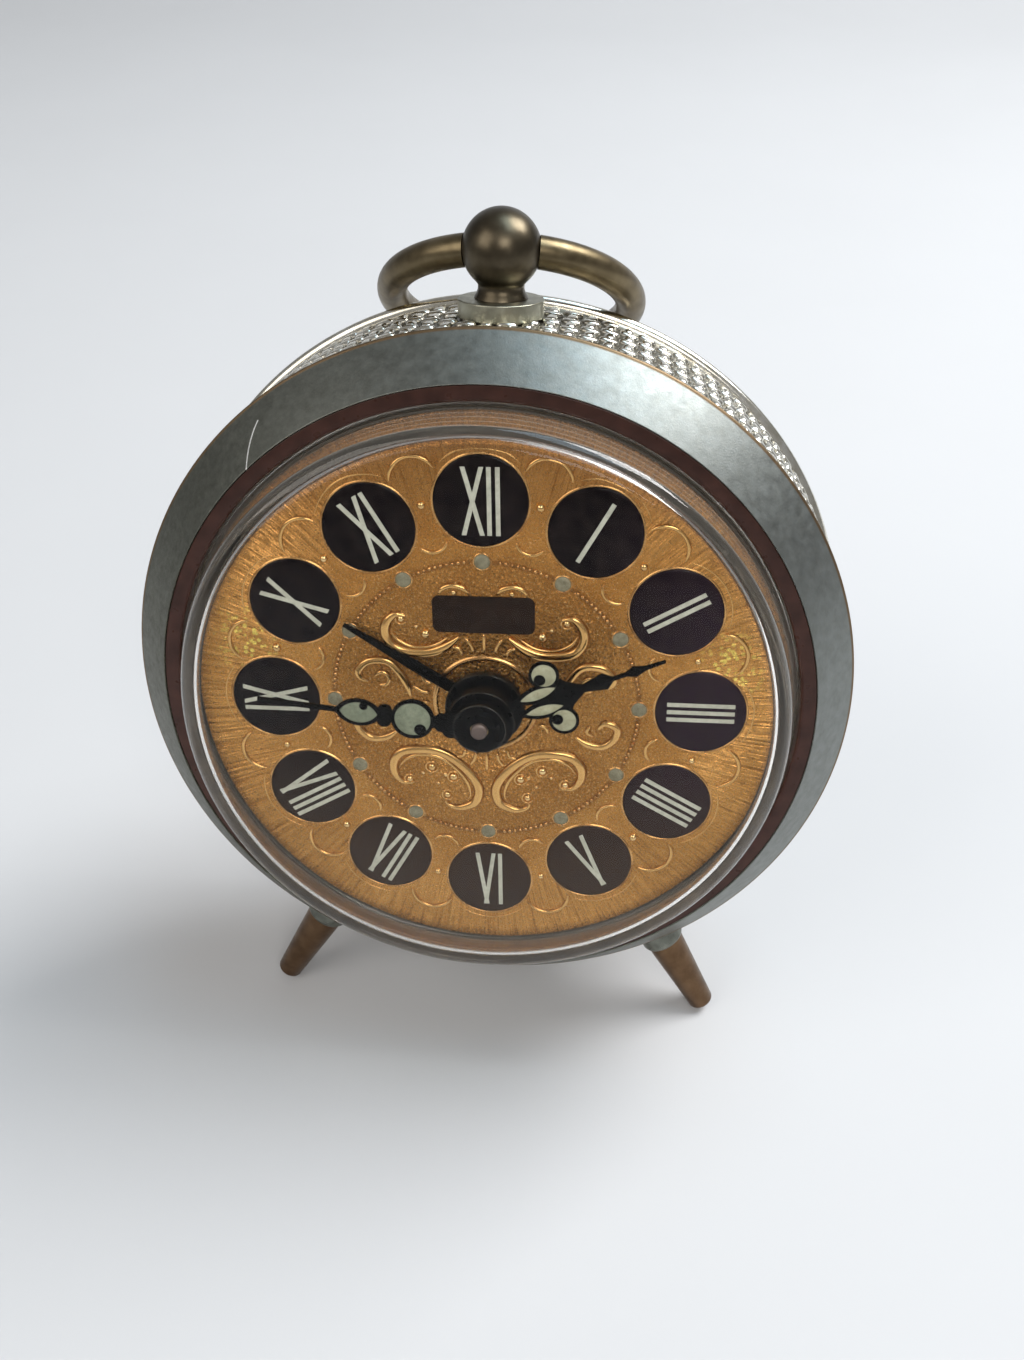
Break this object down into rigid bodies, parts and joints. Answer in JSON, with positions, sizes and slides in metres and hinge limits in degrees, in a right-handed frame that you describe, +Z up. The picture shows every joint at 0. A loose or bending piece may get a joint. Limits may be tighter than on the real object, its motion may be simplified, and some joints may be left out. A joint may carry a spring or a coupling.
{
  "type": "mechanical alarm clock",
  "caption": "Round wind-up alarm clock with a domed crystal, embossed dial with numeral medallions, ball finial with a carrying ring, and peg feet.",
  "frame": {"origin": "point on the table straight below the middle of the dial's face", "axes": "+X to the right as seen by someone facing the dial, +Y away from them towards the back cover, +Z up; the dial leans back 12.5 degrees"},
  "size_m": [0.0808, 0.0553, 0.0983],
  "materials": {
    "embossed_band": "pale gold plate with an embossed basket weave, worn",
    "bezel_silver": "satin silver plate, mottled",
    "bezel_brown": "dark brown lacquer",
    "crystal_clear": "clear, thick edge",
    "dial_copper": "embossed copper and gold lacquer",
    "medallion_dark": "near black with pale numerals",
    "lume": "aged luminous paint",
    "plate_brown": "dark brown, plain",
    "hand_black": "gloss black",
    "bronze": "aged bronze, satin",
    "washer_brass": "grey brass",
    "foot_brass": "brown brass",
    "flange_brown": "brown lacquer",
    "collar_grey": "dull grey",
    "steel": "plain steel",
    "movement_brass": "movement brass",
    "spring_blue": "blued steel",
    "cover_plate": "pale gold plate"
  },
  "bodies": {
    "case": {"case_band": "embossed_band", "bezel": "bezel_silver", "bezel_inner_ring": "bezel_brown", "crystal": "crystal_clear", "dial": "dial_copper", "hour_medallions": "medallion_dark", "dial_lume_dots": "lume", "bare_plate": "plate_brown", "finial": "bronze", "finial_washer": "washer_brass", "finial_nut": "washer_brass", "foot_left": "foot_brass", "foot_right": "foot_brass", "foot_rear": "foot_brass", "foot_flanges": "flange_brown", "foot_collars": "collar_grey", "foot_nuts": "washer_brass", "back_cover": "cover_plate", "back_cover_screws": "cover_plate", "front_plate": "movement_brass", "rear_plate": "movement_brass", "plate_pillars": "steel", "cover_posts": "steel", "time_mainspring": "spring_blue", "hairspring": "spring_blue", "alarm_mainspring": "spring_blue", "sounding_post": "steel"},
    "carrying_ring": {"carrying_ring": "bronze"},
    "minute_arbor": {"center_arbor": "bronze", "cannon_pinion": "movement_brass", "minute_hand": "hand_black", "minute_hand_lume": "lume", "time_setting_knob": "cover_plate"},
    "minute_wheel": {"minute_wheel": "movement_brass"},
    "hour": {"hour_wheel": "movement_brass", "hour_hand": "hand_black", "hour_hand_lume": "lume"},
    "alarm_setting": {"alarm_setting_arbor": "steel", "alarm_setting_knob": "cover_plate"},
    "alarm_indicator": {"alarm_wheel": "movement_brass", "alarm_hand": "hand_black"},
    "time_winding": {"time_winding_arbor": "steel", "time_ratchet_wheel": "steel", "time_winding_key": "cover_plate"},
    "alarm_winding": {"alarm_winding_arbor": "steel", "alarm_winding_key": "cover_plate"},
    "third": {"third_wheel": "movement_brass"},
    "center": {"center_wheel": "movement_brass"},
    "time_great": {"time_great_wheel": "movement_brass"},
    "fourth": {"fourth_wheel": "movement_brass"},
    "escape": {"escape_wheel": "movement_brass"},
    "time_click": {"time_click": "steel"},
    "alarm_click": {"alarm_click": "steel"},
    "alarm_great": {"alarm_great_wheel": "movement_brass"},
    "alarm_star": {"alarm_star_wheel": "movement_brass"},
    "alarm_hammer": {"alarm_hammer": "steel"},
    "pallet_lever": {"pallet_lever": "steel"},
    "balance": {"balance_wheel": "movement_brass"},
    "regulator": {"regulator_lever": "cover_plate"},
    "alarm_stop": {"alarm_stop_button": "cover_plate"}
  },
  "joints": [
    {"name": "carrying_ring_swing", "type": "hinge", "parent": "case", "child": "carrying_ring", "pos_m": [0, 0.02147, 0.09415], "axis": [1, 0, 0], "range_deg": [0, 235]},
    {"name": "time_setting", "type": "hinge", "parent": "case", "child": "minute_arbor", "pos_m": [0, 0.00976, 0.04942], "axis": [0, 0.9763, -0.2164], "continuous": true},
    {"name": "minute_wheel_turn", "type": "hinge", "parent": "case", "child": "minute_wheel", "pos_m": [-0.0084, 0.00391, 0.05072], "axis": [0, 0.9763, -0.2164], "continuous": true},
    {"name": "hour_turn", "type": "hinge", "parent": "case", "child": "hour", "pos_m": [0, 0.00195, 0.05115], "axis": [0, 0.9763, -0.2164], "continuous": true},
    {"name": "alarm_setting", "type": "hinge", "parent": "case", "child": "alarm_setting", "pos_m": [0.00094, 0.01211, 0.0369], "axis": [0, 0.9763, -0.2164], "continuous": true},
    {"name": "alarm_indicator_turn", "type": "hinge", "parent": "case", "child": "alarm_indicator", "pos_m": [0, 0.00098, 0.05137], "axis": [0, 0.9763, -0.2164], "continuous": true},
    {"name": "time_winding", "type": "hinge", "parent": "case", "child": "time_winding", "pos_m": [-0.01316, 0.01849, 0.04258], "axis": [0, 0.9763, -0.2164], "range_deg": [0, 1800]},
    {"name": "alarm_winding", "type": "hinge", "parent": "case", "child": "alarm_winding", "pos_m": [0.01504, 0.01834, 0.04192], "axis": [0, 0.9763, -0.2164], "range_deg": [0, 1800]},
    {"name": "third_turn", "type": "hinge", "parent": "case", "child": "third", "pos_m": [-0.00194, 0.01215, 0.06019], "axis": [0, 0.9763, -0.2164], "continuous": true},
    {"name": "center_turn", "type": "hinge", "parent": "case", "child": "center", "pos_m": [0, 0.00683, 0.05007], "axis": [0, 0.9763, -0.2164], "continuous": true},
    {"name": "time_great_turn", "type": "hinge", "parent": "case", "child": "time_great", "pos_m": [-0.01316, 0.00726, 0.04507], "axis": [0, 0.9763, -0.2164], "continuous": true},
    {"name": "fourth_turn", "type": "hinge", "parent": "case", "child": "fourth", "pos_m": [0.00611, 0.01181, 0.06327], "axis": [0, 0.9763, -0.2164], "continuous": true},
    {"name": "escape_turn", "type": "hinge", "parent": "case", "child": "escape", "pos_m": [0.01335, 0.01349, 0.06159], "axis": [0, 0.9763, -0.2164], "continuous": true},
    {"name": "time_click_lift", "type": "hinge", "parent": "time_great", "child": "time_click", "pos_m": [-0.00886, 0.00643, 0.03763], "axis": [0, -0.9763, 0.2164], "range_deg": [0, 15], "stiffness_Nm_per_rad": 0.0001},
    {"name": "alarm_click_lift", "type": "hinge", "parent": "alarm_great", "child": "alarm_click", "pos_m": [0.00895, 0.00658, 0.0383], "axis": [0, -0.9763, 0.2164], "range_deg": [0, 15], "stiffness_Nm_per_rad": 0.0001},
    {"name": "alarm_great_turn", "type": "hinge", "parent": "case", "child": "alarm_great", "pos_m": [0.01504, 0.00711, 0.04441], "axis": [0, 0.9763, -0.2164], "continuous": true},
    {"name": "alarm_star_turn", "type": "hinge", "parent": "case", "child": "alarm_star", "pos_m": [0.01025, 0.00378, 0.03167], "axis": [0, 0.9763, -0.2164], "continuous": true},
    {"name": "alarm_hammer_swing", "type": "hinge", "parent": "case", "child": "alarm_hammer", "pos_m": [0.0032, 0.0075, 0.02996], "axis": [0, 0.9763, -0.2164], "range_deg": [-9, 9]},
    {"name": "pallet_lever_rock", "type": "hinge", "parent": "case", "child": "pallet_lever", "pos_m": [0.01252, 0.01575, 0.06718], "axis": [0, 0.9763, -0.2164], "range_deg": [-2, 2]},
    {"name": "balance_swing", "type": "hinge", "parent": "case", "child": "balance", "pos_m": [0.00507, 0.01814, 0.07105], "axis": [0, 0.9763, -0.2164], "range_deg": [-150, 150], "stiffness_Nm_per_rad": 0.0000002},
    {"name": "regulator_turn", "type": "hinge", "parent": "case", "child": "regulator", "pos_m": [0.00507, 0.02156, 0.07029], "axis": [0, 0.9763, -0.2164], "range_deg": [-20, 20]},
    {"name": "alarm_stop_push", "type": "slide", "parent": "case", "child": "alarm_stop", "axis": [0, -0.9763, 0.2164], "range_m": [0, 0.0026]}
  ],
  "couplings": [
    {"joint": "minute_wheel_turn", "follows": "time_setting", "ratio": -0.33333},
    {"joint": "hour_turn", "follows": "time_setting", "ratio": 0.083333},
    {"joint": "alarm_indicator_turn", "follows": "alarm_setting", "ratio": -0.16667},
    {"joint": "center_turn", "follows": "third_turn", "ratio": -0.16667},
    {"joint": "time_great_turn", "follows": "third_turn", "ratio": 0.027778},
    {"joint": "fourth_turn", "follows": "third_turn", "ratio": -6},
    {"joint": "escape_turn", "follows": "third_turn", "ratio": 36},
    {"joint": "alarm_star_turn", "follows": "alarm_great_turn", "ratio": -6}
  ]
}
